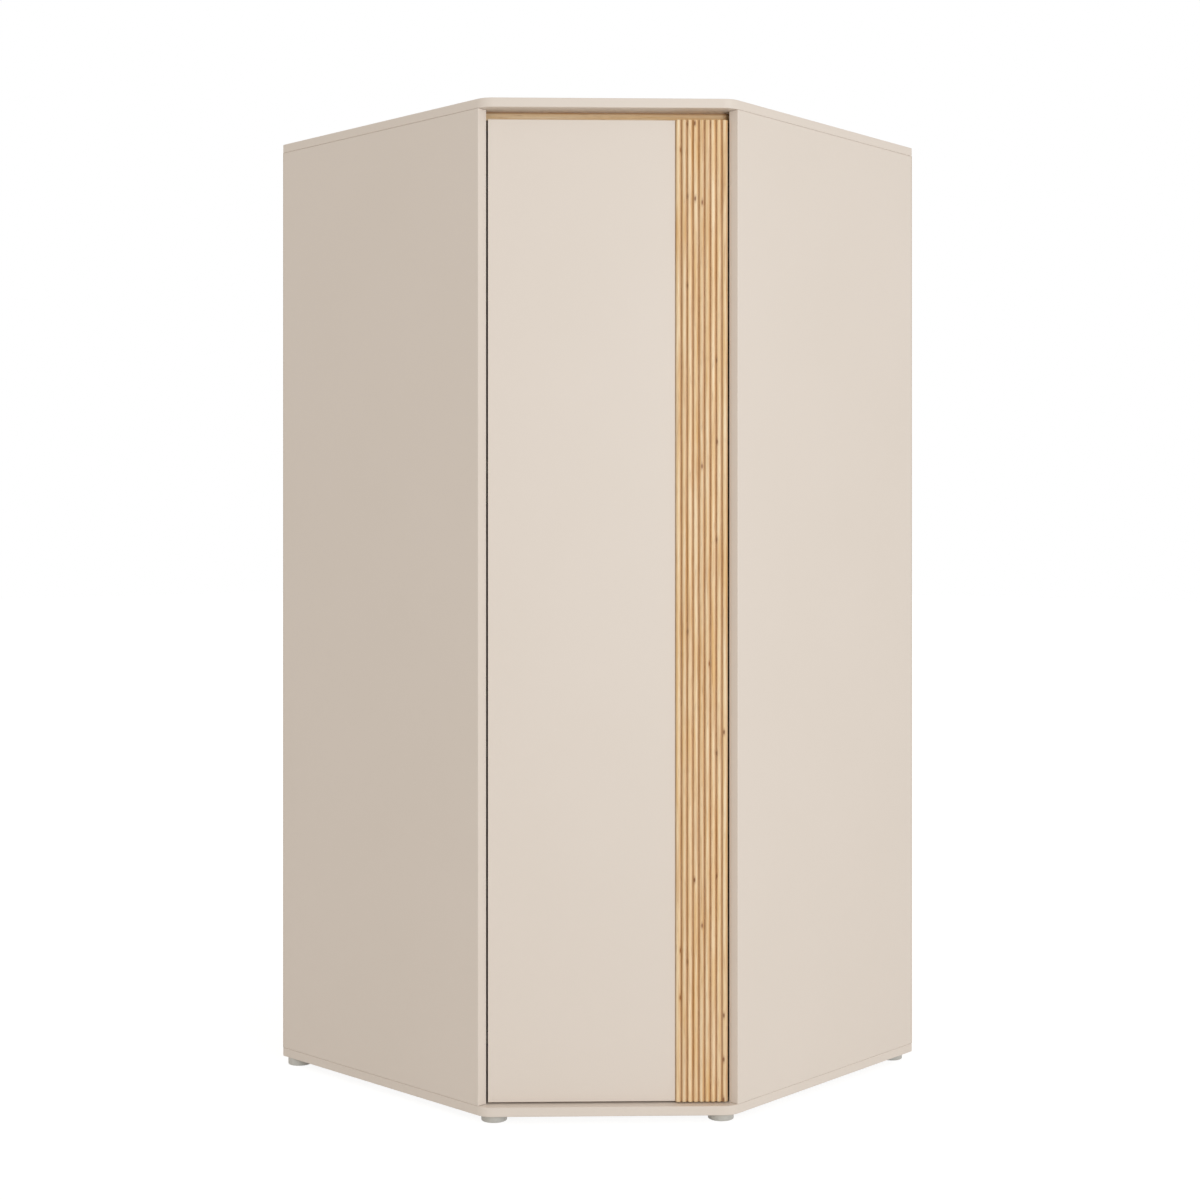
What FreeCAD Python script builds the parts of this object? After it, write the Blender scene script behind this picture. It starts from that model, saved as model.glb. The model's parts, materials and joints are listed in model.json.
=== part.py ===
import FreeCAD, Part
import math
import os

os.makedirs("parts", exist_ok=True)

# Corner wardrobe that stands in the corner of a room. X and Y run along the two walls, Z is up.
# The walls are at -X and +Y, and the door faces the diagonal between +X and -Y.
# Left and right are as seen from in front of the door. All sizes are in millimetres.

# Carcass
front_width = 499.2
side_depth = 600.0
body_height = 1950.0
board = 18.0
side_board = 22.0
back_thickness = 3.0
front_overhang = 10.0
front_corner_radius = 40.0
rear_corner_cut = 150.0
edge_round = 1.0
seam_gap = 0.6
seam_depth = 2.5

# Feet
foot_height = 15.0
foot_diameter = 50.0
foot_bevel = 1.5
front_foot_inset = 30.2
front_foot_setback = 36.5
rear_foot_inset = 25.5
rear_right_foot_inset = 38.0
corner_foot_inset = 48.0

# Top rail
rail_board = 16.0
rail_depth = 90.0
rail_setback = 23.0

# Door
door_thickness = 18.0
door_setback = 13.0
door_side_gap = 2.8
door_top_gap = 2.7
door_bottom_gap = 3.5
slat_count = 9
slat_pitch = 11.2
slat_groove = 1.0
slat_flat = 0.6
slat_joint = 0.6

# Inside
hat_shelf_space = 339.0
hat_shelf_setback = 90.0
bay_width = 330.0
bay_depth = 450.0
shelf_count = 3
shelf_side_clearance = 1.0
shelf_front_setback = 4.0

# Hanging rail
tube_height = 30.0
tube_width = 15.0
tube_wall = 1.2
tube_drop = 62.0
tube_end_inset = 60.0
socket_rim = 4.0
socket_depth = 12.0
socket_floor = 3.0
tube_fit = 0.1

# Hinges
hinge_count = 4
hinge_end_inset = 110.0
pin_from_edge = 22.0
pin_behind_door = 4.0
pin_diameter = 4.0
pin_fit = 0.05
knuckle_half = 3.0
knuckle_gap = 0.4
ear_height = 8.0
arm_thickness = 3.0
arm_reach = 36.0
arm_foot_length = 34.0
cup_diameter = 35.0
cup_depth = 11.5
cup_wall = 1.2
cup_inset = 31.0
cup_rim = 5.0
flange_height = 62.0
flange_thickness = 1.5
base_margin = 4.0
base_height = 52.0
base_thickness = 2.5
turning_gap = 0.3

# Push latch
latch_from_edge = 60.0
latch_width = 16.0
latch_height = 20.0
latch_length = 56.0
latch_behind_door = 9.0
plunger_diameter = 8.0
plunger_length = 34.0
plunger_gap = 0.3
plunger_travel = 2.5
latch_screw_inset = 7.0
latch_screw_apart = 10.5
strike_width = 16.0
strike_height = 30.0
strike_drop = 2.0
strike_thickness = 1.5

# Joining plates behind the door
joint_plate_count = 3
joint_plate_width = 70.0
joint_plate_height = 30.0
joint_plate_thickness = 2.0
joint_plate_end_inset = 250.0
joint_screw_apart = 35.0

# Fasteners
screw_shank = 3.5
screw_length = 9.0
screw_head = 7.0
screw_head_height = 1.6
screw_margin = 0.5
rail_screw_apart = 300.0
shelf_pin_diameter = 5.0
shelf_pin_length = 16.0
shelf_pin_inset = 50.0
cam_diameter = 15.0
cam_depth = 13.5
cam_distance = 34.0
cam_edge_inset = 60.0
cam_slot_width = 1.8
cam_slot_length = 10.0
cam_slot_depth = 2.0
dowel_diameter = 8.0
dowel_length = 30.0
dowel_edge_inset = 130.0
dowel_depth = 12.0
bolt_head = 6.5
bolt_head_length = 3.0
bolt_thread = 5.0
bolt_thread_length = 11.0
bolt_bore = 8.0
fastener_fit = 0.05
fastener_sides = 6
disc_sides = 28
ear_sides = 12
hair = 0.001

# Places that follow from the sizes
root2 = math.sqrt(2.0)
wall_length = side_depth + back_thickness + front_width / root2
half = wall_length / 2
bottom_low = foot_height
bottom_top = bottom_low + board
top_high = foot_height + body_height
top_low = top_high - board
inner_face = half - side_board
rear_plane = half - back_thickness
side_front = side_depth - rear_plane
front_line = (side_front + half) / root2
door_face = front_line - door_setback
corner_run = front_width / 2 - side_board / root2
corner_behind_face = side_board / root2 - door_setback
half_opening = corner_run - corner_behind_face
door_half_width = corner_run - door_side_gap
door_low = bottom_top + door_bottom_gap
door_high = top_low - rail_board - door_top_gap
door_height = door_high - door_low
slat_zone = slat_count * slat_pitch
plain_width = 2 * door_half_width - slat_zone - slat_joint
slat_start = door_half_width - slat_zone
slat_width = slat_pitch - slat_groove
slat_height = slat_flat + slat_width / 2
hat_low = top_low - hat_shelf_space - board
partition_near = bay_width - inner_face
partition_far = partition_near + board
bay_front = bay_depth - rear_plane
shelf_step = (hat_low - bottom_top + board) / (shelf_count + 1)
tube_line = (partition_far + rear_plane) / 2
tube_level = hat_low - tube_drop
tube_start = tube_end_inset - rear_plane
tube_end = inner_face - socket_floor
rail_low = top_low - rail_board
pin_along = pin_from_edge - door_half_width
pin_behind = door_thickness + pin_behind_door
knuckle_radius = pin_behind_door
ear_radius = pin_behind_door - turning_gap
ear_clear_along = pin_along + ear_radius + knuckle_gap
cup_along = cup_inset + cup_diameter / 2 - door_half_width
arm_back = pin_behind + arm_reach
base_start = (arm_back - arm_thickness - corner_behind_face) * root2 - base_margin
base_length = arm_foot_length + arm_thickness * root2 + 2 * base_margin
latch_along = door_half_width - latch_from_edge
latch_level = rail_low - latch_height / 2
latch_front = door_thickness + latch_behind_door
plunger_tip = door_thickness + strike_thickness + plunger_gap
latch_hole = plunger_tip + plunger_length + plunger_travel + plunger_gap - latch_front

X_AXIS = FreeCAD.Vector(1, 0, 0)
Y_AXIS = FreeCAD.Vector(0, 1, 0)
Z_AXIS = FreeCAD.Vector(0, 0, 1)
ORIGIN = FreeCAD.Vector(0, 0, 0)


def point(x, y, z=0.0):
    return FreeCAD.Vector(x, y, z)


def block(x0, x1, y0, y1, z0, z1):
    """Rectangular block between two opposite corners."""
    return Part.makeBox(x1 - x0, y1 - y0, z1 - z0, point(x0, y0, z0))


def prism(corners, z0, z1):
    """Upright prism over a plan outline."""
    outline = [point(x, y, z0) for x, y in corners]
    wire = Part.makePolygon(outline + outline[:1])
    return Part.Face(wire).extrude(Z_AXIS * (z1 - z0))


def rod(diameter, start, direction, length):
    """Round rod from a start point along a direction."""
    return Part.makeCylinder(diameter / 2, length, start, direction)


def facet_bar(diameter, start, direction, length, sides):
    """Bar with flat sides, for round pieces that repeat and need no true round face."""
    turn = 2 * math.pi / sides
    corners = [(diameter / 2 * math.cos(turn * side), diameter / 2 * math.sin(turn * side))
               for side in range(sides)]
    bar = prism(corners, 0, length)
    bar.Placement = FreeCAD.Placement(start, FreeCAD.Rotation(Z_AXIS, direction))
    return bar


def stud(diameter, start, direction, length):
    """Shank or head of a fastener, or the hole for it."""
    return facet_bar(diameter, start, direction, length, fastener_sides)


def disc(diameter, start, direction, length):
    """Foot or hinge cup, or the hole for it."""
    return facet_bar(diameter, start, direction, length, disc_sides)


def to_front(shape):
    """Carry a shape from the door's own frame to its place across the corner.

    In the door's frame X runs to the right along the door, Y runs back from its face, and the
    middle of the face is at zero.
    """
    placed = shape.copy()
    placed.rotate(ORIGIN, Z_AXIS, 45)
    placed.translate(point(door_face / root2, -door_face / root2))
    return placed


def front_plan(along, behind):
    """Plan position of a place given in the door's own frame."""
    x = (along - behind + door_face) / root2
    y = (along + behind - door_face) / root2
    return (x, y)


def wall_at(behind):
    """Distance from the middle line to a side panel's inner face, at a depth behind the door's face."""
    return half_opening + behind


def round_edges(shape, radius, wanted):
    """Round the edges that a test picks out."""
    edges = [edge for edge in shape.Edges if wanted(edge)]
    return shape.makeFillet(radius, edges)


def is_level(edge):
    return edge.BoundBox.ZLength < hair


def mirror_plan(shape):
    """The same piece on the other side of the wardrobe's middle plane."""
    return shape.mirror(ORIGIN, point(1, 1))


# Carcass boards

def five_sided_board(low, high):
    """Top or bottom board: rounded front corners, cut-off rear corner, eased edges."""
    reach = side_front + front_overhang * root2
    corners = [
        (-half, -half),
        (reach, -half),
        (half, -reach),
        (half, half),
        (rear_corner_cut - half, half),
        (-half, half - rear_corner_cut),
    ]
    slab = prism(corners, low, high)
    front = (reach + half) / root2

    def at_front(edge):
        spot = edge.CenterOfMass
        return edge.BoundBox.ZLength > board / 2 and (spot.x - spot.y) / root2 > front - hair

    slab = round_edges(slab, front_corner_radius, at_front)
    return slab.makeChamfer(edge_round, [edge for edge in slab.Edges if is_level(edge)])


def left_side_board():
    """Side board with eased front edges and a fine shadow line where it meets the top and the bottom."""
    slab = block(-rear_plane, side_front, -half, -inner_face, bottom_top, top_low)
    front_edges = [edge for edge in slab.Edges
                   if edge.CenterOfMass.x > side_front - hair and not is_level(edge)]
    slab = slab.makeChamfer(edge_round, front_edges)
    for low in (bottom_top, top_low - seam_gap):
        outer = block(-rear_plane, side_front, -half, seam_depth - half, low, low + seam_gap)
        front = block(side_front - seam_depth, side_front, -half, -inner_face, low, low + seam_gap)
        slab = slab.cut([outer, front])
    return slab


def rear_corner_board():
    """Narrow upright board across the rear corner, mitred to meet both back panels."""
    outer = wall_length - rear_corner_cut - rear_plane
    inner = outer - board * root2
    corners = [(-rear_plane, outer), (-outer, rear_plane), (-inner, rear_plane), (-rear_plane, inner)]
    return prism(corners, bottom_top, top_low)


def left_back_board():
    return block(-half, -rear_plane, -half, half - rear_corner_cut, bottom_top, top_low)


def top_rail_board():
    near = rail_setback
    far = rail_setback + rail_depth
    corners = [(-wall_at(near), near), (wall_at(near), near), (wall_at(far), far), (-wall_at(far), far)]
    return to_front(prism(corners, top_low - rail_board, top_low))


def hat_shelf_board():
    front_left = front_plan(-wall_at(hat_shelf_setback), hat_shelf_setback)
    front_right = front_plan(wall_at(hat_shelf_setback), hat_shelf_setback)
    inner = wall_length - rear_corner_cut - rear_plane - board * root2
    corners = [
        (-rear_plane, -inner_face),
        front_left,
        front_right,
        (inner_face, rear_plane),
        (-inner, rear_plane),
        (-rear_plane, inner),
    ]
    return prism(corners, hat_low, hat_low + board)


def partition_board():
    return block(-rear_plane, bay_front, partition_near, partition_far, bottom_top, hat_low)


def shelf_underside(number):
    return bottom_top - board + number * shelf_step


def loose_shelf(number):
    low = shelf_underside(number)
    return block(-rear_plane, bay_front - shelf_front_setback, -inner_face + shelf_side_clearance,
                 partition_near - shelf_side_clearance, low, low + board)


# Feet

def foot_places():
    along = front_width / 2 - front_foot_inset
    behind = front_foot_setback - front_overhang - door_setback
    rear = half - rear_foot_inset
    corner = half - rear_corner_cut / 2 - corner_foot_inset / root2
    return {
        "foot_front_left": front_plan(-along, behind),
        "foot_front_right": front_plan(along, behind),
        "foot_rear_left": (-rear, -rear),
        "foot_rear_right": (half - rear_right_foot_inset, rear),
        "foot_rear_corner": (-corner, corner),
    }


def foot(place):
    body = disc(foot_diameter, point(place[0], place[1]), Z_AXIS, foot_height)
    rim = [edge for edge in body.Edges if is_level(edge) and edge.BoundBox.ZMax < foot_bevel]
    return body.makeChamfer(foot_bevel, rim)


# Door

def plain_door_board():
    slab = block(-door_half_width, plain_width - door_half_width, 0, door_thickness, door_low, door_high)

    def at_face(edge):
        return edge.BoundBox.YMax < hair

    return round_edges(slab, edge_round, at_face)


def slat_carrier():
    return block(slat_start, door_half_width, 0, door_thickness, door_low, door_high)


def slat(number):
    """Upright slat with a half-round face, standing proud of the door on the carrier."""
    left = slat_start + slat_groove / 2 + number * slat_pitch
    right = left + slat_width
    foot_left = point(left, 0, door_low)
    foot_right = point(right, 0, door_low)
    spring_left = point(left, -slat_flat, door_low)
    spring_right = point(right, -slat_flat, door_low)
    round_face = Part.Arc(spring_right, point((left + right) / 2, -slat_height, door_low), spring_left)
    wire = Part.Wire([
        Part.makeLine(foot_left, foot_right),
        Part.makeLine(foot_right, spring_right),
        round_face.toShape(),
        Part.makeLine(spring_left, foot_left),
    ])
    return Part.Face(wire).extrude(Z_AXIS * door_height)


# Hinges

def hinge_levels():
    low = door_low + hinge_end_inset
    step = (door_height - 2 * hinge_end_inset) / (hinge_count - 1)
    return [low + number * step for number in range(hinge_count)]


def hinge_ear(side, level):
    """Round ear of the arm above or below the door's knuckle, reaching straight back."""
    near = knuckle_half + knuckle_gap
    low = level + near if side > 0 else level - near - ear_height
    ear = facet_bar(2 * ear_radius, point(pin_along, pin_behind, low), Z_AXIS, ear_height, ear_sides)
    tongue = block(pin_along - arm_thickness / 2, pin_along + arm_thickness / 2, pin_behind, arm_back,
                   low, low + ear_height)
    return ear.fuse(tongue)


def hinge_arm(level):
    """Fixed arm: two ears on the pin, a web behind the door's swing, a foot on the base plate."""
    near = arm_back - arm_thickness
    skin = base_thickness * root2
    slope = arm_thickness * root2
    run = arm_foot_length / root2
    low = level - knuckle_half - knuckle_gap - ear_height
    high = level + knuckle_half + knuckle_gap + ear_height
    far = arm_back + run
    outline = [
        (pin_along + arm_thickness / 2, near),
        (pin_along + arm_thickness / 2, arm_back),
        (slope + skin - wall_at(arm_back), arm_back),
        (slope + skin - wall_at(far), far),
        (skin - wall_at(far - slope / 2), far - slope / 2),
        (skin - wall_at(near), near),
    ]
    web = prism(outline, low, high)
    arm = web.fuse([hinge_ear(1, level), hinge_ear(-1, level)]).removeSplitter()
    return arm.cut(pin_hole(low, high))


def pin_hole(low, high):
    return rod(pin_diameter + 2 * pin_fit, point(pin_along, pin_behind, low), Z_AXIS, high - low)


def hinge_pin(level):
    half_span = knuckle_half + knuckle_gap + ear_height
    return rod(pin_diameter, point(pin_along, pin_behind, level - half_span), Z_AXIS, 2 * half_span)


def hinge_cup(level):
    """Cup let into the door's back, with its flange and the knuckle that turns on the pin."""
    center = point(cup_along, door_thickness - cup_depth, level)
    cup = disc(cup_diameter, center, Y_AXIS, cup_depth)
    flange = block(ear_clear_along, cup_along + cup_diameter / 2 + cup_rim, door_thickness,
                   door_thickness + flange_thickness, level - flange_height / 2, level + flange_height / 2)
    tab = block(pin_along, cup_along, door_thickness, door_thickness + flange_thickness,
                level - knuckle_half, level + knuckle_half)
    neck = block(pin_along, pin_along + knuckle_radius, door_thickness, pin_behind,
                 level - knuckle_half, level + knuckle_half)
    knuckle = rod(2 * knuckle_radius, point(pin_along, pin_behind, level - knuckle_half), Z_AXIS,
                  2 * knuckle_half)
    body = cup.fuse([flange, tab, neck, knuckle]).removeSplitter()
    inside = cup_diameter - 2 * cup_wall
    hollow = disc(inside, center + Y_AXIS * cup_wall, Y_AXIS, cup_depth + flange_thickness)
    return body.cut(hollow).cut(pin_hole(level - knuckle_half, level + knuckle_half))


def cup_bore(level):
    bottom = point(cup_along, door_thickness - cup_depth, level)
    return disc(cup_diameter + 2 * fastener_fit, bottom, Y_AXIS, cup_depth)


def cup_screws(level):
    """Two screws through a cup's flange into the door, above and below the cup."""
    face = door_thickness + flange_thickness
    rise = flange_height / 2 - screw_head / 2 - screw_margin
    return [point(cup_along, face, level - rise), point(cup_along, face, level + rise)]


def hinge_base(level):
    """Plate between the arm's foot and the side panel, drawn along the panel's inner face."""
    start = side_front - base_start
    return block(start - base_length, start, -inner_face, -inner_face + base_thickness,
                 level - base_height / 2, level + base_height / 2)


def screw(seat, into, length=screw_length):
    """Screw with a low round head that sits on a face."""
    head_part = stud(screw_head, seat, into * -1, screw_head_height)
    return head_part.fuse(stud(screw_shank, seat, into, length)).removeSplitter()


def screw_hole(seat, into, length=screw_length):
    """Hole for a screw, from the face its head sits on."""
    return stud(screw_shank + 2 * fastener_fit, seat, into, length + screw_margin)


def base_screws(level):
    """Two screws through a base plate into the side panel."""
    along = side_front - base_start - base_length / 2
    face = base_thickness - inner_face
    rise = base_height / 2 - screw_head / 2 - screw_margin
    return [point(along, face, level - rise), point(along, face, level + rise)]


# Push latch

def latch_housing():
    body = block(latch_along - latch_width / 2, latch_along + latch_width / 2, latch_front,
                 latch_front + latch_length, rail_low - latch_height, rail_low)
    mouth = point(latch_along, latch_front, latch_level)
    return body.cut(rod(plunger_diameter + 2 * pin_fit, mouth, Y_AXIS, latch_hole))


def latch_plunger():
    return rod(plunger_diameter, point(latch_along, plunger_tip, latch_level), Y_AXIS, plunger_length)


def strike_plate():
    high = door_high - strike_drop
    return block(latch_along - strike_width / 2, latch_along + strike_width / 2, door_thickness,
                 door_thickness + strike_thickness, high - strike_height, high)


def strike_screw():
    low = door_high - strike_drop - strike_height
    return point(latch_along, door_thickness + strike_thickness, low + screw_head / 2 + screw_margin)


def latch_screws():
    """Two screws up through the solid rear end of the latch housing into the top rail."""
    end = latch_front + latch_length
    insets = (latch_screw_inset, latch_screw_inset + latch_screw_apart)
    return [point(latch_along, end - inset, rail_low - latch_height) for inset in insets]


# Joining plates

def joint_levels():
    low = door_low + joint_plate_end_inset
    step = (door_height - 2 * joint_plate_end_inset) / (joint_plate_count - 1)
    return [low + number * step for number in range(joint_plate_count)]


def joint_plate(level):
    return block(slat_start - joint_plate_width / 2, slat_start + joint_plate_width / 2, door_thickness,
                 door_thickness + joint_plate_thickness, level - joint_plate_height / 2,
                 level + joint_plate_height / 2)


def joint_screws(level):
    face = door_thickness + joint_plate_thickness
    reach = joint_screw_apart / 2
    return [point(slat_start - reach, face, level), point(slat_start + reach, face, level)]


# Cams and dowels

def cam_joint(seat, into, outward):
    """Cam, bolt and their bores where the end of one board meets the face of another.

    The seat is on the end of the near board, half a plain board behind the face that shows the cam.
    Into points into the far board, and outward points out of that face.
    """
    middle = seat - into * cam_distance
    face = middle + outward * (board / 2)
    head_end = middle + into * (bolt_head_length / 2)
    near_cut = stud(cam_diameter + 2 * fastener_fit, face, outward * -1, cam_depth)
    near_cut = near_cut.fuse(stud(bolt_bore, seat, into * -1, cam_distance))
    far_cut = stud(bolt_thread + 2 * fastener_fit, seat, into, bolt_thread_length + screw_margin)
    shank = stud(bolt_thread, head_end, into, cam_distance + bolt_thread_length - bolt_head_length / 2)
    bolt = shank.fuse(stud(bolt_head, head_end, into * -1, bolt_head_length)).removeSplitter()
    pocket = stud(bolt_head + 2 * fastener_fit, head_end, into * -1, bolt_head_length + screw_margin)
    passage = stud(bolt_thread + 2 * fastener_fit, middle, into, cam_diameter)
    slot = block(-cam_slot_width / 2, cam_slot_width / 2, -cam_slot_length / 2, cam_slot_length / 2,
                 -cam_slot_depth, 0)
    turn = FreeCAD.Rotation(into, outward.cross(into), outward, "ZXY")
    slot.Placement = FreeCAD.Placement(face, turn)
    cam = stud(cam_diameter, face, outward * -1, cam_depth).cut([pocket, passage, slot])
    return cam, bolt, near_cut, far_cut


def dowel_joint(seat, into):
    """Dowel and its two holes. It is driven to the bottom of the hole in the far board."""
    end = seat + into * dowel_depth
    dowel = stud(dowel_diameter, end, into * -1, dowel_length)
    hole = stud(dowel_diameter + 2 * fastener_fit, end, into * -1, dowel_length + screw_margin)
    return dowel, hole


# Hanging rail

def oval(width, height, x0, x1):
    """Upright oval bar along X on the hanging rail's line."""
    straight = height - width
    core = block(x0, x1, tube_line - width / 2, tube_line + width / 2, tube_level - straight / 2,
                 tube_level + straight / 2)
    centers = [point(x0, tube_line, tube_level + sign * straight / 2) for sign in (-1, 1)]
    ends = [facet_bar(width, center, X_AXIS, x1 - x0, disc_sides) for center in centers]
    return core.fuse(ends).removeSplitter()


def hanging_tube():
    outer = oval(tube_width, tube_height, tube_start, tube_end)
    inner = oval(tube_width - 2 * tube_wall, tube_height - 2 * tube_wall, tube_start, tube_end)
    return outer.cut(inner)


def tube_socket():
    """Socket on the right side panel that takes the end of the hanging rail."""
    mouth = inner_face - socket_depth
    rim = oval(tube_width + 2 * socket_rim, tube_height + 2 * socket_rim, mouth, inner_face)
    hole = oval(tube_width + 2 * tube_fit, tube_height + 2 * tube_fit, mouth, tube_end)
    return rim.cut(hole)


def drop_bracket():
    """Bracket that hangs the other end of the rail from the hat shelf."""
    x0 = tube_start + socket_rim
    x1 = x0 + socket_depth
    ring = oval(tube_width + 2 * socket_rim, tube_height + 2 * socket_rim, x0, x1)
    stem = block(x0, x1, tube_line - tube_width / 2, tube_line + tube_width / 2, tube_level, hat_low)
    plate = block(x0 - socket_depth, x1 + socket_depth, tube_line - tube_height / 2,
                  tube_line + tube_height / 2, hat_low - socket_floor, hat_low)
    hole = oval(tube_width + 2 * tube_fit, tube_height + 2 * tube_fit, x0, x1)
    return ring.fuse([stem, plate]).removeSplitter().cut(hole)


# The pieces by name

shapes = {}


def cut_from(name, tools):
    shapes[name] = shapes[name].cut(tools)


def group(solids):
    return Part.makeCompound(solids)


# Boards

shapes["bottom_panel"] = five_sided_board(bottom_low, bottom_top)
shapes["top_panel"] = five_sided_board(top_low, top_high)
shapes["side_left"] = left_side_board()
shapes["rear_corner_panel"] = rear_corner_board()
shapes["back_left"] = left_back_board()
shapes["back_right"] = mirror_plan(shapes["back_left"])
shapes["top_rail"] = top_rail_board()
shapes["hat_shelf"] = hat_shelf_board()
shapes["partition"] = partition_board()
for number in range(1, shelf_count + 1):
    shapes[f"shelf_{number}"] = loose_shelf(number)
shapes["door_panel"] = plain_door_board()
shapes["slat_carrier"] = slat_carrier()

# Cams, bolts and dowels at the ends of the side panels, the rear corner panel and the partition

cams = []
bolts = []
dowels = []
side_fixing_line = -inner_face - board / 2
rear_middle = (wall_length - rear_corner_cut - board / root2) / 2
ends = [("bottom_panel", bottom_top, Z_AXIS * -1), ("top_panel", top_low, Z_AXIS)]
for panel, level, into in ends:
    for x in (cam_edge_inset - rear_plane, side_front - cam_edge_inset):
        cam, bolt, near_cut, far_cut = cam_joint(point(x, side_fixing_line, level), into, Y_AXIS)
        cams += [cam, mirror_plan(cam)]
        bolts += [bolt, mirror_plan(bolt)]
        cut_from("side_left", near_cut)
        cut_from(panel, [far_cut, mirror_plan(far_cut)])
    for x in (dowel_edge_inset - rear_plane, side_front - dowel_edge_inset):
        dowel, hole = dowel_joint(point(x, side_fixing_line, level), into)
        dowels += [dowel, mirror_plan(dowel)]
        cut_from("side_left", hole)
        cut_from(panel, [hole, mirror_plan(hole)])
    seat = point(-rear_middle, rear_middle, level)
    cam, bolt, near_cut, far_cut = cam_joint(seat, into, point(1 / root2, -1 / root2))
    cams.append(cam)
    bolts.append(bolt)
    cut_from("rear_corner_panel", near_cut)
    cut_from(panel, far_cut)
shapes["side_right"] = mirror_plan(shapes["side_left"])
partition_middle = partition_near + board / 2
for panel, level, into in [("bottom_panel", bottom_top, Z_AXIS * -1), ("hat_shelf", hat_low, Z_AXIS)]:
    for x in (dowel_edge_inset - rear_plane, bay_front - dowel_edge_inset):
        dowel, hole = dowel_joint(point(x, partition_middle, level), into)
        dowels.append(dowel)
        cut_from("partition", hole)
        cut_from(panel, hole)
shapes["cam_locks"] = group(cams)
shapes["cam_bolts"] = group(bolts)
shapes["dowels"] = group(dowels)

# Shelf pins

pins = []


def add_shelf_pin(name, place, into):
    pin = stud(shelf_pin_diameter, place - into * (shelf_pin_length / 2), into, shelf_pin_length)
    hole = stud(shelf_pin_diameter + 2 * fastener_fit, place, into, shelf_pin_length / 2)
    pins.append(pin)
    cut_from(name, hole)


for number in range(1, shelf_count + 1):
    level = shelf_underside(number) - shelf_pin_diameter / 2
    for x in (shelf_pin_inset - rear_plane, bay_front - shelf_pin_inset):
        add_shelf_pin("side_left", point(x, -inner_face, level), Y_AXIS * -1)
        add_shelf_pin("partition", point(x, partition_near, level), Y_AXIS)
hat_front = front_plan(wall_at(hat_shelf_setback), hat_shelf_setback)[1]
hat_pin_level = hat_low - shelf_pin_diameter / 2
for run in (shelf_pin_inset - rear_plane, -hat_front - shelf_pin_inset):
    add_shelf_pin("side_left", point(run, -inner_face, hat_pin_level), Y_AXIS * -1)
    add_shelf_pin("side_right", point(inner_face, -run, hat_pin_level), X_AXIS)
shapes["shelf_pins"] = group(pins)

# Hanging rail

shapes["hanging_rail"] = hanging_tube()
shapes["rail_socket"] = tube_socket()
shapes["rail_bracket"] = drop_bracket()

# Door hinges

levels = hinge_levels()
base_fixings = []
door_fixings = []
for number, level in enumerate(levels, start=1):
    cup = hinge_cup(level)
    cut_from("door_panel", cup_bore(level))
    for seat in cup_screws(level):
        door_fixings.append(screw(seat, Y_AXIS * -1))
        hole = screw_hole(seat, Y_AXIS * -1)
        cup = cup.cut(hole)
        cut_from("door_panel", hole)
    base = hinge_base(level)
    for seat in base_screws(level):
        base_fixings.append(screw(seat, Y_AXIS * -1))
        hole = screw_hole(seat, Y_AXIS * -1)
        base = base.cut(hole)
        cut_from("side_left", hole)
    shapes[f"hinge_base_{number}"] = base
    shapes[f"hinge_cup_{number}"] = to_front(cup)
    shapes[f"hinge_arm_{number}"] = to_front(hinge_arm(level))
shapes["hinge_pins"] = to_front(group([hinge_pin(level) for level in levels]))
shapes["hinge_base_screws"] = group(base_fixings)

# Joining plates and strike plate on the back of the door

plates = []
for level in joint_levels():
    plate = joint_plate(level)
    for name, seat in zip(("door_panel", "slat_carrier"), joint_screws(level)):
        door_fixings.append(screw(seat, Y_AXIS * -1))
        hole = screw_hole(seat, Y_AXIS * -1)
        plate = plate.cut(hole)
        cut_from(name, hole)
    plates.append(plate)
shapes["joining_plates"] = to_front(group(plates))
strike_hole = screw_hole(strike_screw(), Y_AXIS * -1)
shapes["strike_plate"] = to_front(strike_plate().cut(strike_hole))
cut_from("slat_carrier", strike_hole)
door_fixings.append(screw(strike_screw(), Y_AXIS * -1))
shapes["door_screws"] = to_front(group(door_fixings))

# Push latch

housing = latch_housing()
latch_fixings = []
latch_screw_length = latch_height + screw_length
for seat in latch_screws():
    latch_fixings.append(screw(seat, Z_AXIS, latch_screw_length))
    hole = screw_hole(seat, Z_AXIS, latch_screw_length)
    housing = housing.cut(hole)
    cut_from("top_rail", to_front(hole))
shapes["latch_housing"] = to_front(housing)
shapes["latch_plunger"] = to_front(latch_plunger())

# Screws of the top rail and the hanging rail

carcass_fixings = [to_front(fixing) for fixing in latch_fixings]


def add_screw(names, seat, into, length):
    carcass_fixings.append(screw(seat, into, length))
    for name in names:
        cut_from(name, screw_hole(seat, into, length))


rail_middle = rail_setback + rail_depth / 2
for along in (-rail_screw_apart / 2, rail_screw_apart / 2):
    x, y = front_plan(along, rail_middle)
    add_screw(["top_rail", "top_panel"], point(x, y, rail_low), Z_AXIS, rail_board + screw_length)
tube_screw_length = socket_floor + screw_length
add_screw(["rail_socket", "side_right"], point(tube_end, tube_line, tube_level), X_AXIS, tube_screw_length)
bracket_middle = tube_start + socket_rim + socket_depth / 2
for x in (bracket_middle - socket_depth, bracket_middle + socket_depth):
    seat = point(x, tube_line, hat_low - socket_floor)
    add_screw(["rail_bracket", "hat_shelf"], seat, Z_AXIS, tube_screw_length)
shapes["carcass_screws"] = group(carcass_fixings)

# Feet

for name, place in foot_places().items():
    shapes[name] = foot(place)

# Slats, and the door boards carried to their place across the corner

for number in range(slat_count):
    shapes[f"slat_{number + 1}"] = to_front(slat(number))
for name in ("door_panel", "slat_carrier"):
    shapes[name] = to_front(shapes[name])

for name, shape in shapes.items():
    shape.exportStep(f"parts/{name}.step")
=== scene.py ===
import json
import math

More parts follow.
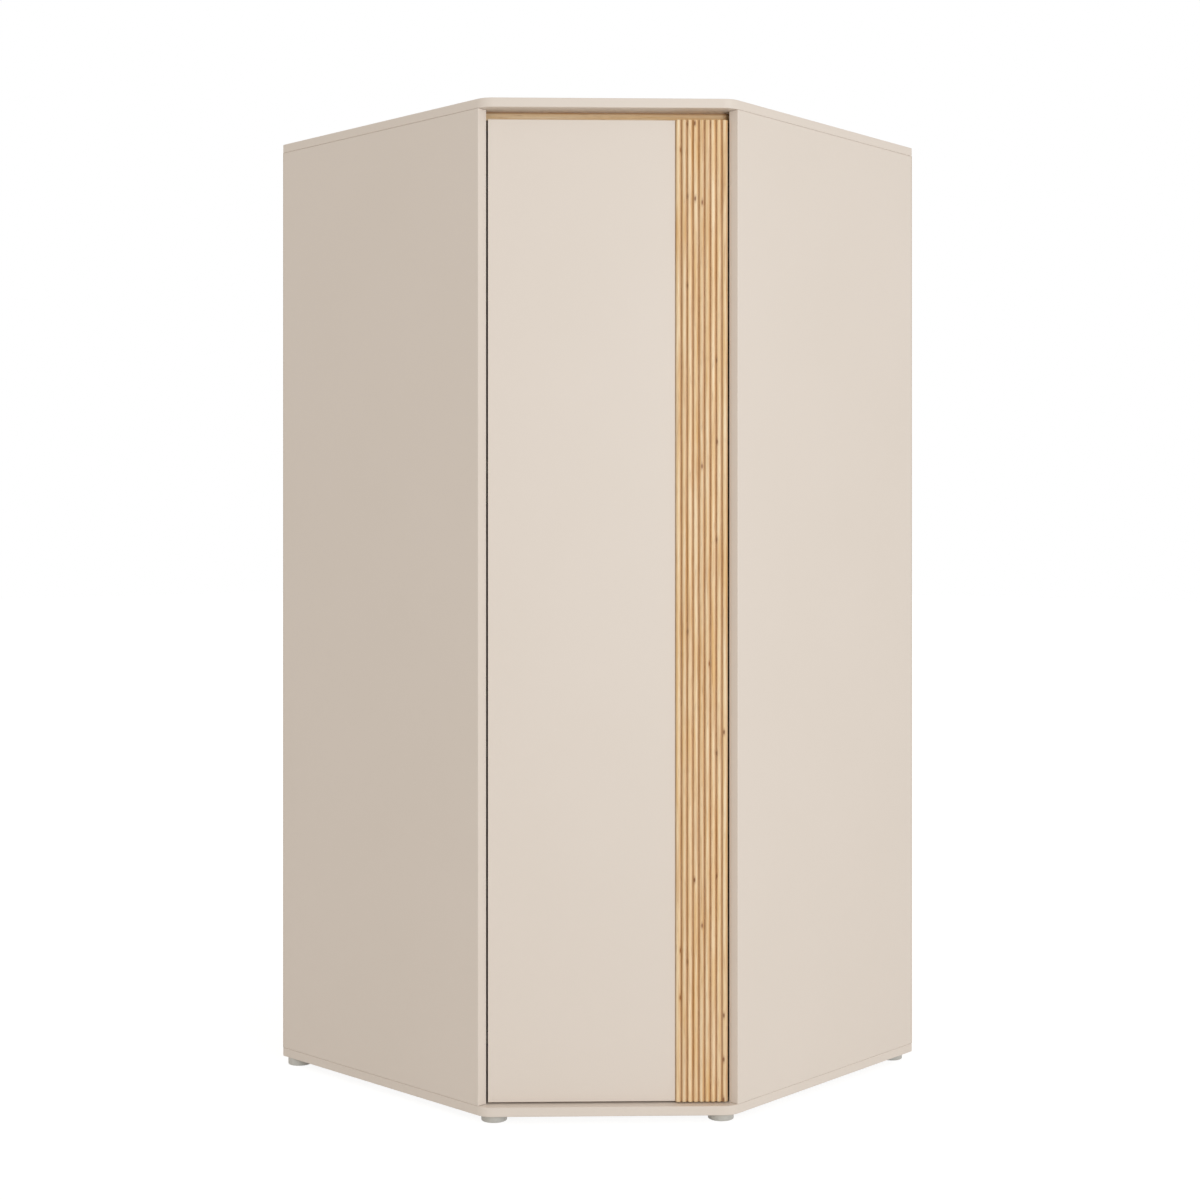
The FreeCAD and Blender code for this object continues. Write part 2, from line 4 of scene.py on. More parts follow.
import bmesh
import bpy
from bpy.props import FloatProperty, FloatVectorProperty, PointerProperty
from mathutils import Matrix, Vector

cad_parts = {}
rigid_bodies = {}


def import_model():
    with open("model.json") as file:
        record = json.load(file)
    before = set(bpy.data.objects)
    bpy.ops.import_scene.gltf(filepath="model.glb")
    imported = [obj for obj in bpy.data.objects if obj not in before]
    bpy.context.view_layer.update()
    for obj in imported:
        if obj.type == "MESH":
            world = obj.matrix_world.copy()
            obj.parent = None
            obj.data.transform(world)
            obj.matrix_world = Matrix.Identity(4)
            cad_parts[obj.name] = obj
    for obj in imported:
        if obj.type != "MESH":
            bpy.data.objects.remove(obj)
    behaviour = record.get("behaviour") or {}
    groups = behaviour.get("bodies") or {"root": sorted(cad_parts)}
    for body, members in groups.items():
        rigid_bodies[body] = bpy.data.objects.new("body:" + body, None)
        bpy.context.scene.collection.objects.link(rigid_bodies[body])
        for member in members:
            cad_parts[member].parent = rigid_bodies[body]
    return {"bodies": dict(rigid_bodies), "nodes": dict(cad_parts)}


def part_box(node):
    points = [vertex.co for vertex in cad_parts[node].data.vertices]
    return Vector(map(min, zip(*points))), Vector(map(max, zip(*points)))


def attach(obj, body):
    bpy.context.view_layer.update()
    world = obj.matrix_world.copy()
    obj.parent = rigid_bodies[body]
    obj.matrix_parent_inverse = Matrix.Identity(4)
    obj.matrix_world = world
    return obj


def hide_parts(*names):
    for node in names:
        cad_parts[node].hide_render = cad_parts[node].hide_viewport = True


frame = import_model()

bl_info = {
    "name": "Corner Wardrobe",
    "version": (1, 0, 0),
    "blender": (4, 5, 0),
    "location": "View3D > Sidebar > Wardrobe",
    "description": "Finishes a corner wardrobe: boards, slats, feet, hinges, rail and stage",
    "category": "Object",
}

# Names of the wardrobe's pieces
CARCASS_BOARDS = ("top_panel", "bottom_panel", "side_left", "side_right", "rear_corner_panel", "hat_shelf",
                  "partition", "shelf_1", "shelf_2", "shelf_3")
BACKS = ("back_left", "back_right")
SLATS = tuple(f"slat_{number}" for number in range(1, 10))
FEET = ("foot_front_left", "foot_front_right", "foot_rear_left", "foot_rear_right", "foot_rear_corner")
HINGE_STEEL = tuple(f"hinge_{kind}_{number}" for kind in ("cup", "arm", "base") for number in range(1, 5))
DOOR_PLATES = ("joining_plates", "strike_plate")
SUNK_STEEL = ("hinge_pins", "cam_bolts", "cam_locks")
SCREW_BODIES = {"hinge_base_screws": "carcass", "door_screws": "door", "carcass_screws": "carcass"}
PINNED_BOARDS = ("side_left", "side_right", "partition")
RAIL_HOLDERS = ("rail_socket", "rail_bracket")

MM = 0.001
DOOR_TURN = math.radians(45)
SMOOTH_ANGLE = math.radians(35)
FLOOR_REACH = 30.0

# Sides of the round pieces, and steps across their eased rims
FOOT_SEGMENTS = 64
RAIL_SEGMENTS = 48
FIXING_SEGMENTS = 24
NAIL_SEGMENTS = 12
LOWER_RIM_STEPS = 4
UPPER_RIM_STEPS = 2
FIXING_RIM_STEPS = 3

# Vertices nearer than the first are one corner, and corners nearer than the second stand at one level
JOIN_DISTANCE = 0.001 * MM
LEVEL_STEP = 0.05 * MM

# Round fixings stand in for six-sided ones. A shank with this share of their radius fits in their holes.
FIT_IN_SIX = math.cos(math.radians(30))

# Shape of a screw: its rim and the depth of its cross as shares of the head's height, the reach and width
# of the cross as shares of the head's radius, and the blunt end of its tip as a share of the shank
HEAD_RIM = 0.6
CROSS_DEPTH = 0.7
CROSS_REACH = 0.55
CROSS_WIDTH = 0.28
CROSS_MARGIN = 1.1
CROSS_TAPER = 1 / 8
TIP_END = 0.1

# Eased ends of the shelf pins and the plunger, as shares of their radius
PIN_RIM = 0.2
PLUNGER_RIM = 0.3

# Directions in which fixings point, and the way that each board's cams face
ALONG_X = Vector((1.0, 0.0, 0.0))
ALONG_Y = Vector((0.0, 1.0, 0.0))
ALONG_Z = Vector((0.0, 0.0, 1.0))
OUT_OF_DOOR = Vector((1.0, -1.0, 0.0)).normalized()
CAM_FACES = {"side_left": ALONG_Y, "side_right": -ALONG_X, "rear_corner_panel": OUT_OF_DOOR}

# Shrinking a direction of a pattern draws it out that way. X is along the door and Z is up.
UPRIGHT_GRAIN = (1.0, 1.0, 0.035)
LEVEL_GRAIN = (0.035, 1.0, 1.0)
STREAK_STRETCH = (1.0, 1.0, 0.05)
SCRATCH_STRETCH = (1.0, 1.0, 0.1)
BEECH_STRETCH = (1.0, 1.0, 0.15)
KNOT_STRETCH = 0.35

# Share of the cells on the slats that hold no knot, and the width of a cloud on plated steel in scratches
KNOT_FREE = 0.90
CLOUD_WIDTH = 12

# A Mix node repeats its socket names for each kind of data, so its colours are reached by their places
COLOUR_A = 6
COLOUR_B = 7
MIXED = 2


# Helpers

def linear(hex_colour):
    """Linear RGBA of an sRGB hex colour."""
    channels = [int(hex_colour[start:start + 2], 16) / 255 for start in (0, 2, 4)]
    curved = [c / 12.92 if c <= 0.04045 else ((c + 0.055) / 1.055) ** 2.4 for c in channels]
    return (*curved, 1.0)


def scale_for(size):
    """Texture scale whose features are about this many metres across."""
    return 1.0 / size


def greys(*stops):
    """Stops of a grey ramp from (place, level) pairs."""
    return [(position, (level, level, level, 1.0)) for position, level in stops]


def add_node(tree, kind, inputs=None, stops=(), **settings):
    """Add a node, set its properties and a ramp's (place, colour) stops, and give inputs a value or link."""
    node = tree.nodes.new(kind)
    for name, value in settings.items():
        setattr(node, name, value)
    if stops:
        elements = node.color_ramp.elements
        elements.remove(elements[1])
        elements[0].position, elements[0].color = stops[0]
        for position, colour in stops[1:]:
            elements.new(position).color = colour
    for name, value in (inputs or {}).items():
        socket = node.inputs[name]
        if isinstance(value, bpy.types.NodeSocket):
            tree.links.new(value, socket)
        else:
            socket.default_value = value
    return node


def start_material(name, roughness, metallic=0.0):
    """New material, with its node tree, its shader and the Object coordinates that its patterns read."""
    material = bpy.data.materials.new(name)
    material.use_nodes = True
    tree = material.node_tree
    shader = tree.nodes["Principled BSDF"]
    shader.inputs["Roughness"].default_value = roughness
    shader.inputs["Metallic"].default_value = metallic
    place = add_node(tree, "ShaderNodeTexCoord").outputs["Object"]
    return material, tree, shader, place


def dress(material, names):
    """Give CAD nodes a material."""
    for name in names:
        materials = frame["nodes"][name].data.materials
        materials.clear()
        materials.append(material)


def joined_copy(name):
    """Mesh of a CAD node with its loose triangles joined, without the normals that are stored on them."""
    data = frame["nodes"][name].data.copy()
    stored_normals = data.attributes.get("custom_normal")
    if stored_normals:
        data.attributes.remove(stored_normals)
    mesh = bmesh.new()
    mesh.from_mesh(data)
    bpy.data.meshes.remove(data)
    bmesh.ops.remove_doubles(mesh, verts=mesh.verts, dist=JOIN_DISTANCE)
    return mesh


def link_piece(mesh, name, material, body, replaced=None):
    """Put a finished mesh on a body, smooth but for its corners, in place of a CAD node if one is named."""
    data = bpy.data.meshes.new(name)
    mesh.to_mesh(data)
    mesh.free()
    data.shade_smooth()
    data.set_sharp_from_angle(angle=SMOOTH_ANGLE)
    data.materials.append(material)
    piece = bpy.data.objects.new(name, data)
    bpy.context.scene.collection.objects.link(piece)
    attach(piece, body)
    if replaced:
        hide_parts(replaced)


def box_middle(name):
    """Middle of a CAD node's box."""
    low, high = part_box(name)
    return (low + high) / 2


def in_box(place, name):
    """Whether a place lies in the box of a CAD node."""
    low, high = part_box(name)
    return all(low[axis] < place[axis] < high[axis] for axis in range(3))


def door_line_span(name):
    """Lowest and highest place of a CAD node along the line of the door, in metres."""
    places = [(vertex.co.x + vertex.co.y) / math.sqrt(2) for vertex in frame["nodes"][name].data.vertices]
    return min(places), max(places)


# Settings

def colour_field(name, description, hex_colour):
    """Colour that a user may change, from an sRGB hex value."""
    return FloatVectorProperty(name=name, description=description, subtype="COLOR", size=4, min=0.0, max=1.0,
                               default=linear(hex_colour))


def size_field(name, description, size_mm):
    """Length that a user may change, from millimetres."""
    return FloatProperty(name=name, description=description, unit="LENGTH", min=0.01 * MM,
                         default=size_mm * MM)


class BoardSettings(bpy.types.PropertyGroup):
    """Finish of the beige boards and the thin backs, and the caps over the cams."""

    light: colour_field("Light tone", "Lighter tone of the beige facing", "E8DDD3")
    dark: colour_field("Dark tone", "Darker tone of the beige facing", "E5DACF")
    drift: size_field("Drift", "Distance over which the beige changes tone", 260.0)
    pearl: size_field("Pearl", "Grain of the pressed surface", 2.4)
    cap_width: size_field("Cap width", "Width of the foil caps over the cams", 19.0)
    cap_height: size_field("Cap height", "Thickness of the foil caps over the cams", 0.6)
    back_paint: colour_field("Back paint", "Painted inner face of the backs", "DCD0C1")
    back_raw: colour_field("Back raw", "Raw outer face of the backs", "A9865F")
    raw_depth: size_field("Raw depth", "Thickness of the backs that shows raw at their edges", 1.0)
    fibre: size_field("Fibre", "Length of a fibre fleck on the raw face", 6.0)


class OakSettings(bpy.types.PropertyGroup):
    """Finish of the slats, their carrier and the top rail, and the gap at the rail's end."""

    light: colour_field("Early wood", "Light bands of the oak", "FEEAC6")
    dark: colour_field("Late wood", "Dark bands of the oak", "ECC68C")
    streak: colour_field("Streak", "Pore lines", "8A5222")
    knot: colour_field("Knot", "Knots", "80400F")
    # The hollow colour tints the streaks and the rail, and is also painted shade in the hollows between the
    # slats
    hollow: colour_field("Hollow", "Stain in the hollows between the slats", "B26E19")
    rose: colour_field("Rose", "Tint of the rosier slats", "FFFAF6")
    band: size_field("Band", "Width of a growth band across the grain", 7.0)
    pore: size_field("Pore", "Width of a pore line across the grain", 1.1)
    wander: size_field("Wander", "Width of a long streak on a slat", 6.0)
    knot_cell: size_field("Knot cell", "Width of the cells that may each hold a knot", 14.0)
    rail_gap: size_field("Rail gap", "Gap between the right end of the rail and the side panel", 16.5)
    # Place of the painted shade line along the top of the rail, under the top panel
    shade_line_start: size_field("Line start", "Where the dark line starts, below the rail's top", 4.5)
    shade_line_full: size_field("Line full", "Where the dark line is darkest, below the rail's top", 1.5)


class FittingSettings(bpy.types.PropertyGroup):
    """Finish and small sizes of the metal, plastic and beech fittings."""

    nickel: colour_field("Black nickel", "Black nickel plate of the hinges and door plates", "6E6B67")
    zinc: colour_field("Zinc", "Zinc-plated steel of screws, nails, pins and cams", "B4B8BC")
    chrome: colour_field("Chrome", "Chromed tube and its holders", "D9DADB")
    foot_grey: colour_field("Foot grey", "Moulded silver-grey of the feet and latch", "CCCAC4")
    plunger_white: colour_field("Plunger white", "Moulded white of the latch plunger", "E6E6E1")
    beech: colour_field("Beech", "Raw beech of the dowels", "D6B083")
    beech_ray: size_field("Beech ray", "Width of a ray in the beech", 1.5)
    foot_lower_rim: size_field("Foot lower rim", "Radius of the rolled rim on the floor", 1.2)
    foot_upper_rim: size_field("Foot upper rim", "Radius of the eased rim under the panel", 0.6)
    foot_ring: size_field("Foot ring", "Width of the ring that a foot stands on", 3.0)
    foot_slope: size_field("Foot slope", "Width of the slope into the hollow of a foot", 0.5)
    foot_hollow: size_field("Foot hollow", "Depth of the hollow under a foot", 1.0)
    rail_wall: size_field("Rail wall", "Thickness of the hanging rail's wall", 1.2)
    nail_width: size_field("Nail width", "Width of the nail heads in the backs", 4.0)
    nail_rise: size_field("Nail rise", "Height of the nail heads above the backs", 0.2)
    nail_spacing: size_field("Nail spacing", "Distance between the nails of the backs", 150.0)


class StageSettings(bpy.types.PropertyGroup):
    """Camera, floor and light."""

    camera_place: FloatVectorProperty(name="Camera", description="Where the camera stands", subtype="XYZ",
                                      unit="LENGTH", default=(2.7010, -2.9420, 1.1152))
    camera_heading: FloatProperty(name="Heading", description="Turn of the level camera about the upright",
                                  subtype="ANGLE", default=math.radians(43.566))
    lens: FloatProperty(name="Lens", description="Focal length in millimetres", unit="CAMERA", default=55.73)
    camera_shift: FloatVectorProperty(name="Shift", description="Shift as a share of the picture's width",
                                      size=2, default=(0.0283, -0.0485))
    floor_tone: colour_field("Floor", "Matt floor under the wardrobe", "F2F1EF")
    floor_glow: FloatProperty(name="Floor glow", description="Strength of the white that the floor shows",
                              default=1.2)
    floor_white: FloatProperty(name="Floor white", description="Share of that white in the floor as seen",
                               subtype="FACTOR", min=0.0, max=1.0, default=0.75)
    room_tone: colour_field("Room tone", "Warm white of the even light all round", "FFF9F1")
    room_light: FloatProperty(name="Room light", description="Strength of the even light all round",
                              default=0.635)
    key_tone: colour_field("Key tone", "Cool white of the soft light on the right", "F0F8FF")
    key_place: FloatVectorProperty(name="Key light", description="Where the soft light on the right stands",
                                   subtype="XYZ", unit="LENGTH", default=(5.85, -2.2, 1.8))
    key_aim: FloatVectorProperty(name="Key aim", description="Where the soft light points", subtype="XYZ",
                                 unit="LENGTH", default=(0.2, -0.1, 1.0))
    key_size: FloatProperty(name="Key size", description="Side of the soft light", unit="LENGTH", default=2.5)
    key_power: FloatProperty(name="Key power", description="Power of the soft light", unit="POWER",
                             default=118.0)


class WardrobeSettings(bpy.types.PropertyGroup):
    """Everything a user would change."""

    boards: PointerProperty(type=BoardSettings)
    oak: PointerProperty(type=OakSettings)
    fittings: PointerProperty(type=FittingSettings)
    stage: PointerProperty(type=StageSettings)


def wardrobe_settings():
    return bpy.context.scene.corner_wardrobe


# Materials

def melamine_board(settings):
    # Melamine-faced particle board, pressed on a pearl-textured plate. The eye sees an even warm beige with
    # a satin sheen, a faint drift of tone, and reflections broken by a fine pebble. The real pebble is under
    # half a millimetre, so it is drawn coarser to show.
    material, tree, shader, place = start_material("melamine_faced_board", roughness=0.44)
    drift = add_node(tree, "ShaderNodeTexNoise", {
        "Vector": place,
        "Scale": scale_for(settings.drift),
        "Detail": 3.0,
        "Roughness": 0.55,
    })
    tone = add_node(tree, "ShaderNodeMix", {
        "Factor": drift.outputs["Fac"],
        COLOUR_A: settings.dark,
        COLOUR_B: settings.light,
    }, data_type="RGBA")
    pearl = add_node(tree, "ShaderNodeTexNoise", {
        "Vector": place,
        "Scale": scale_for(settings.pearl),
        "Detail": 2.0,
        "Roughness": 0.6,
    })
    sheen = add_node(tree, "ShaderNodeMapRange", {
        "Value": pearl.outputs["Fac"],
        "To Min": 0.38,
        "To Max": 0.50,
    })
    pebble = add_node(tree, "ShaderNodeBump", {
        "Height": pearl.outputs["Fac"],
        "Strength": 0.06,
        "Distance": 0.2 * MM,
    })
    tree.links.new(tone.outputs[MIXED], shader.inputs["Base Color"])
    tree.links.new(sheen.outputs["Result"], shader.inputs["Roughness"])
    tree.links.new(pebble.outputs["Normal"], shader.inputs["Normal"])
    return material


def painted_fibreboard(settings):
    # High-density fibreboard, painted on one face. Inside it is smooth beige, and the side to the wall is
    # the raw brown board with pressed fibre flecks.
    material, tree, shader, place = start_material("painted_fibreboard", roughness=0.6)
    split = add_node(tree, "ShaderNodeSeparateXYZ", {"Vector": place})
    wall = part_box("back_left")[0].x + settings.raw_depth
    left = add_node(tree, "ShaderNodeMath", {0: split.outputs["X"], 1: wall}, operation="LESS_THAN")
    right = add_node(tree, "ShaderNodeMath", {0: split.outputs["Y"], 1: -wall}, operation="GREATER_THAN")
    raw = add_node(tree, "ShaderNodeMath", {
        0: left.outputs["Value"],
        1: right.outputs["Value"],
    }, operation="MAXIMUM")
    fibre = add_node(tree, "ShaderNodeTexNoise", {
        "Vector": place,
        "Scale": scale_for(settings.fibre),
        "Detail": 6.0,
        "Roughness": 0.7,
        "Distortion": 0.6,
    })
    flecks = add_node(tree, "ShaderNodeMapRange", {
        "Value": fibre.outputs["Fac"],
        "From Min": 0.3,
        "From Max": 0.7,
        "To Min": 0.82,
        "To Max": 1.1,
    })
    brown = add_node(tree, "ShaderNodeVectorMath", {
        0: settings.back_raw[:3],
        "Scale": flecks.outputs["Result"],
    }, operation="SCALE")
    faces = add_node(tree, "ShaderNodeMix", {
        "Factor": raw.outputs["Value"],
        COLOUR_A: settings.back_paint,
        COLOUR_B: brown.outputs["Vector"],
    }, data_type="RGBA")
    grain = add_node(tree, "ShaderNodeBump", {
        "Height": fibre.outputs["Fac"],
        "Strength": 0.15,
        "Distance": 0.2 * MM,
    })
    tree.links.new(faces.outputs[MIXED], shader.inputs["Base Color"])
    tree.links.new(grain.outputs["Normal"], shader.inputs["Normal"])
    return material


def oak_foil(name, settings, stretch, finishing=None):
    # Oak-finish foil wrapped on the slats, their carrier and the rail, matt lacquered. The eye sees straight
    # honey grain: soft light and dark bands, fine dark pore lines, a few streaks and knots, and a tone that
    # differs from slat to slat. The hollow between two slats holds painted shade in an orange brown, which
    # reaches further over the right flank of each slat than its left. The real pore lines are a few tenths
    # of a millimetre wide, so they are drawn wider to show.
    material, tree, shader, place = start_material(name, roughness=0.5)
    turned = add_node(tree, "ShaderNodeMapping", {"Vector": place, "Rotation": (0.0, 0.0, -DOOR_TURN)})
    grain = add_node(tree, "ShaderNodeMapping", {"Vector": turned.outputs["Vector"], "Scale": stretch})
    bands = add_node(tree, "ShaderNodeTexNoise", {
        "Vector": grain.outputs["Vector"],
        "Scale": scale_for(settings.band),
        "Detail": 4.0,
        "Roughness": 0.6,
        "Distortion": 0.4,
    })
    pores = add_node(tree, "ShaderNodeTexNoise", {
        "Vector": grain.outputs["Vector"],
        "Scale": scale_for(settings.pore),
        "Detail": 2.0,
        "Roughness": 0.5,
    })
    pore_lines = add_node(tree, "ShaderNodeMapRange", {
        "Value": pores.outputs["Fac"],
        "From Min": 0.58,
        "From Max": 0.74,
        "To Min": 0.0,
        "To Max": 0.45,
    })
    wood = add_node(tree, "ShaderNodeValToRGB", {"Fac": bands.outputs["Fac"]},
                    stops=((0.32, settings.dark), (0.62, settings.light)))
    with_pores = add_node(tree, "ShaderNodeMix", {
        "Factor": pore_lines.outputs["Result"],
        COLOUR_A: wood.outputs["Color"],
        COLOUR_B: settings.streak,
    }, data_type="RGBA")
    finish = with_pores.outputs[MIXED]
    if finishing:
        finish = finishing(tree, turned.outputs["Vector"], finish, settings)
    relief = add_node(tree, "ShaderNodeBump", {
        "Height": pores.outputs["Fac"],
        "Strength": 0.2,
        "Distance": 0.15 * MM,
    }, invert=True)
    tree.links.new(finish, shader.inputs["Base Color"])
    tree.links.new(relief.outputs["Normal"], shader.inputs["Normal"])
    return material


def rail_tone_and_shade(tree, turned, wood, settings):
    """Deeper tone for the rail, and a line of painted shade along its top, where it meets the top panel."""
    deeper = add_node(tree, "ShaderNodeMix", {
        "Factor": 0.24,
        COLOUR_A: wood,
        COLOUR_B: settings.hollow,
    }, data_type="RGBA")
    rail_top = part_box("top_rail")[1].z
    split = add_node(tree, "ShaderNodeSeparateXYZ", {"Vector": turned})
    # Painted shade along the rail's top, where it meets the top panel
    line = add_node(tree, "ShaderNodeMapRange", {
        "Value": split.outputs["Z"],
        "From Min": rail_top - settings.shade_line_start,
        "From Max": rail_top - settings.shade_line_full,
        "To Min": 0.0,
        "To Max": 0.62,
    })
    joint_shaded = add_node(tree, "ShaderNodeMix", {
        "Factor": line.outputs["Result"],
        COLOUR_A: deeper.outputs[MIXED],
        COLOUR_B: settings.streak,
    }, data_type="RGBA")
    return joint_shaded.outputs[MIXED]


def slat_tones_and_hollow_shade(tree, turned, wood, settings):
    """A tone for each slat, streaks and knots, and painted shade in the hollow between two slats."""
    first, slat_end = door_line_span(SLATS[0])
    pitch = (door_line_span(SLATS[-1])[0] - first) / (len(SLATS) - 1)
    gap = pitch - (slat_end - first)
    split = add_node(tree, "ShaderNodeSeparateXYZ", {"Vector": turned})
    shifted = add_node(tree, "ShaderNodeMath", {
        0: split.outputs["X"],
        1: first - gap / 2,
    }, operation="SUBTRACT")
    counted = add_node(tree, "ShaderNodeMath", {0: shifted.outputs["Value"], 1: pitch}, operation="DIVIDE")
    number = add_node(tree, "ShaderNodeMath", {0: counted.outputs["Value"]}, operation="FLOOR")
    across = add_node(tree, "ShaderNodeMath", {0: counted.outputs["Value"]}, operation="FRACT")

    # Each slat is cut from another strip of foil, some lighter and some rosier
    draw = add_node(tree, "ShaderNodeTexWhiteNoise", {"W": number.outputs["Value"]}, noise_dimensions="1D")
    lightness = add_node(tree, "ShaderNodeMapRange", {
        "Value": draw.outputs["Value"],
        "To Min": 0.93,
        "To Max": 1.05,
    })
    toned = add_node(tree, "ShaderNodeVectorMath", {
        0: wood,
        "Scale": lightness.outputs["Result"],
    }, operation="SCALE")
    drawn_tint = add_node(tree, "ShaderNodeSeparateColor", {"Color": draw.outputs["Color"]})
    rosy = add_node(tree, "ShaderNodeMix", {
        "Factor": drawn_tint.outputs["Green"],
        COLOUR_A: toned.outputs["Vector"],
        COLOUR_B: settings.rose,
    }, data_type="RGBA", blend_type="MULTIPLY")

    # Long faint streaks that wander along a slat
    drawn_out = add_node(tree, "ShaderNodeMapping", {"Vector": turned, "Scale": STREAK_STRETCH})
    wander = add_node(tree, "ShaderNodeTexNoise", {
        "Vector": drawn_out.outputs["Vector"],
        "W": number.outputs["Value"],
        "Scale": scale_for(settings.wander),
        "Detail": 3.0,
        "Roughness": 0.6,
        "Distortion": 0.4,
    }, noise_dimensions="4D")
    streaks = add_node(tree, "ShaderNodeMapRange", {
        "Value": wander.outputs["Fac"],
        "From Min": 0.48,
        "From Max": 0.72,
        "To Min": 0.0,
        "To Max": 0.38,
    })
    streaked = add_node(tree, "ShaderNodeMix", {
        "Factor": streaks.outputs["Result"],
        COLOUR_A: rosy.outputs[MIXED],
        COLOUR_B: settings.hollow,
    }, data_type="RGBA")

    # Small upright knots, in a few of the cells that are a slat wide and a thumb long
    upright = add_node(tree, "ShaderNodeMath", {
        0: split.outputs["Z"],
        1: KNOT_STRETCH,
    }, operation="MULTIPLY")
    face = add_node(tree, "ShaderNodeCombineXYZ", {"X": split.outputs["X"], "Y": upright.outputs["Value"]})
    knots = add_node(tree, "ShaderNodeTexVoronoi", {
        "Vector": face.outputs["Vector"],
        "Scale": scale_for(settings.knot_cell),
        "Randomness": 1.0,
    }, voronoi_dimensions="2D")
    chosen = add_node(tree, "ShaderNodeSeparateColor", {"Color": knots.outputs["Color"]})
    rare = add_node(tree, "ShaderNodeMath", {
        0: chosen.outputs["Red"],
        1: KNOT_FREE,
    }, operation="GREATER_THAN")
    heart = add_node(tree, "ShaderNodeValToRGB", {"Fac": knots.outputs["Distance"]},
                     stops=greys((0.0, 0.95), (0.07, 0.85), (0.13, 0.3), (0.28, 0.0)))
    knot = add_node(tree, "ShaderNodeMath", {
        0: heart.outputs["Color"],
        1: rare.outputs["Value"],
    }, operation="MULTIPLY")
    knotted = add_node(tree, "ShaderNodeMix", {
        "Factor": knot.outputs["Value"],
        COLOUR_A: streaked.outputs[MIXED],
        COLOUR_B: settings.knot,
    }, data_type="RGBA")

    # Painted shade in the hollow at each side of a slat, reaching wider over a slat's right flank than its
    # left
    hollow = add_node(tree, "ShaderNodeValToRGB", {"Fac": across.outputs["Value"]},
                      stops=greys((0.0, 0.75), (0.10, 0.25), (0.20, 0.0), (0.42, 0.0), (0.62, 0.18),
                                  (0.80, 0.42), (1.0, 0.9)))
    hollow_shaded = add_node(tree, "ShaderNodeMix", {
        "Factor": hollow.outputs["Color"],
        COLOUR_A: knotted.outputs[MIXED],
        COLOUR_B: settings.hollow,
    }, data_type="RGBA")
    return hollow_shaded.outputs[MIXED]


def plated_steel(name, colour, roughness, scratch):
    # Pressed steel with a thin plated coat, tumbled before plating. The eye sees a grey metal whose
    # reflections are blurred by fine scratches and cloudy patches. Real scratches are finer than a hair, so
    # they are drawn coarser to show.
    material, tree, shader, place = start_material(name, roughness, metallic=1.0)
    clouds = add_node(tree, "ShaderNodeTexNoise", {
        "Vector": place,
        "Scale": scale_for(scratch * CLOUD_WIDTH),
        "Detail": 3.0,
    })
    patches = add_node(tree, "ShaderNodeMapRange", {
        "Value": clouds.outputs["Fac"],
        "To Min": roughness * 0.75,
        "To Max": roughness * 1.3,
    })
    scratched = add_node(tree, "ShaderNodeMapping", {"Vector": place, "Scale": SCRATCH_STRETCH})
    scratches = add_node(tree, "ShaderNodeTexNoise", {
        "Vector": scratched.outputs["Vector"],
        "Scale": scale_for(scratch),
        "Detail": 2.0,
    })
    tint = add_node(tree, "ShaderNodeMapRange", {
        "Value": clouds.outputs["Fac"],
        "To Min": 0.92,
        "To Max": 1.04,
    })
    plate = add_node(tree, "ShaderNodeVectorMath", {
        0: colour[:3],
        "Scale": tint.outputs["Result"],
    }, operation="SCALE")
    relief = add_node(tree, "ShaderNodeBump", {
        "Height": scratches.outputs["Fac"],
        "Strength": 0.08,
        "Distance": 0.05 * MM,
    })
    tree.links.new(plate.outputs["Vector"], shader.inputs["Base Color"])
    tree.links.new(patches.outputs["Result"], shader.inputs["Roughness"])
    tree.links.new(relief.outputs["Normal"], shader.inputs["Normal"])
    return material


def moulded_plastic(name, colour, roughness, grit):
    # Injection-moulded plastic from a spark-eroded mould. The eye sees one soft tone with a fine matt grain.
    # The real grain is about a tenth of a millimetre, so it is drawn coarser to show.
    material, tree, shader, place = start_material(name, roughness)
    grain = add_node(tree, "ShaderNodeTexNoise", {
        "Vector": place,
        "Scale": scale_for(grit),
        "Detail": 2.0,
    })
    tint = add_node(tree, "ShaderNodeMapRange", {
        "Value": grain.outputs["Fac"],
        "To Min": 0.95,
        "To Max": 1.03,
    })
    toned = add_node(tree, "ShaderNodeVectorMath", {
        0: colour[:3],
        "Scale": tint.outputs["Result"],
    }, operation="SCALE")
    relief = add_node(tree, "ShaderNodeBump", {
        "Height": grain.outputs["Fac"],
        "Strength": 0.12,
        "Distance": 0.1 * MM,
    })
    tree.links.new(toned.outputs["Vector"], shader.inputs["Base Color"])
    tree.links.new(relief.outputs["Normal"], shader.inputs["Normal"])
    return material


def raw_beech(settings):
    # Turned beech, unfinished. The eye sees pale pinkish wood with short brown rays.
    material, tree, shader, place = start_material("raw_beech", roughness=0.65)
    grain = add_node(tree, "ShaderNodeMapping", {"Vector": place, "Scale": BEECH_STRETCH})
    rays = add_node(tree, "ShaderNodeTexNoise", {
        "Vector": grain.outputs["Vector"],
        "Scale": scale_for(settings.beech_ray),
        "Detail": 3.0,
    })
    tint = add_node(tree, "ShaderNodeMapRange", {
        "Value": rays.outputs["Fac"],
        "To Min": 0.8,
        "To Max": 1.1,
    })
    wood = add_node(tree, "ShaderNodeVectorMath", {
        0: settings.beech[:3],
        "Scale": tint.outputs["Result"],
    }, operation="SCALE")
    tree.links.new(wood.outputs["Vector"], shader.inputs["Base Color"])
    return material


# Operators

class WARDROBE_OT_boards(bpy.types.Operator):
    """Finish the carcass boards and the plain part of the door, and cap the cams"""

    bl_idname = "wardrobe.boards"
    bl_label = "Beige boards"

    def execute(self, context):
        settings = wardrobe_settings().boards
        melamine = melamine_board(settings)
        dress(melamine, (*CARCASS_BOARDS, "door_panel"))
        build_cam_caps(settings, melamine)
        return {"FINISHED"}


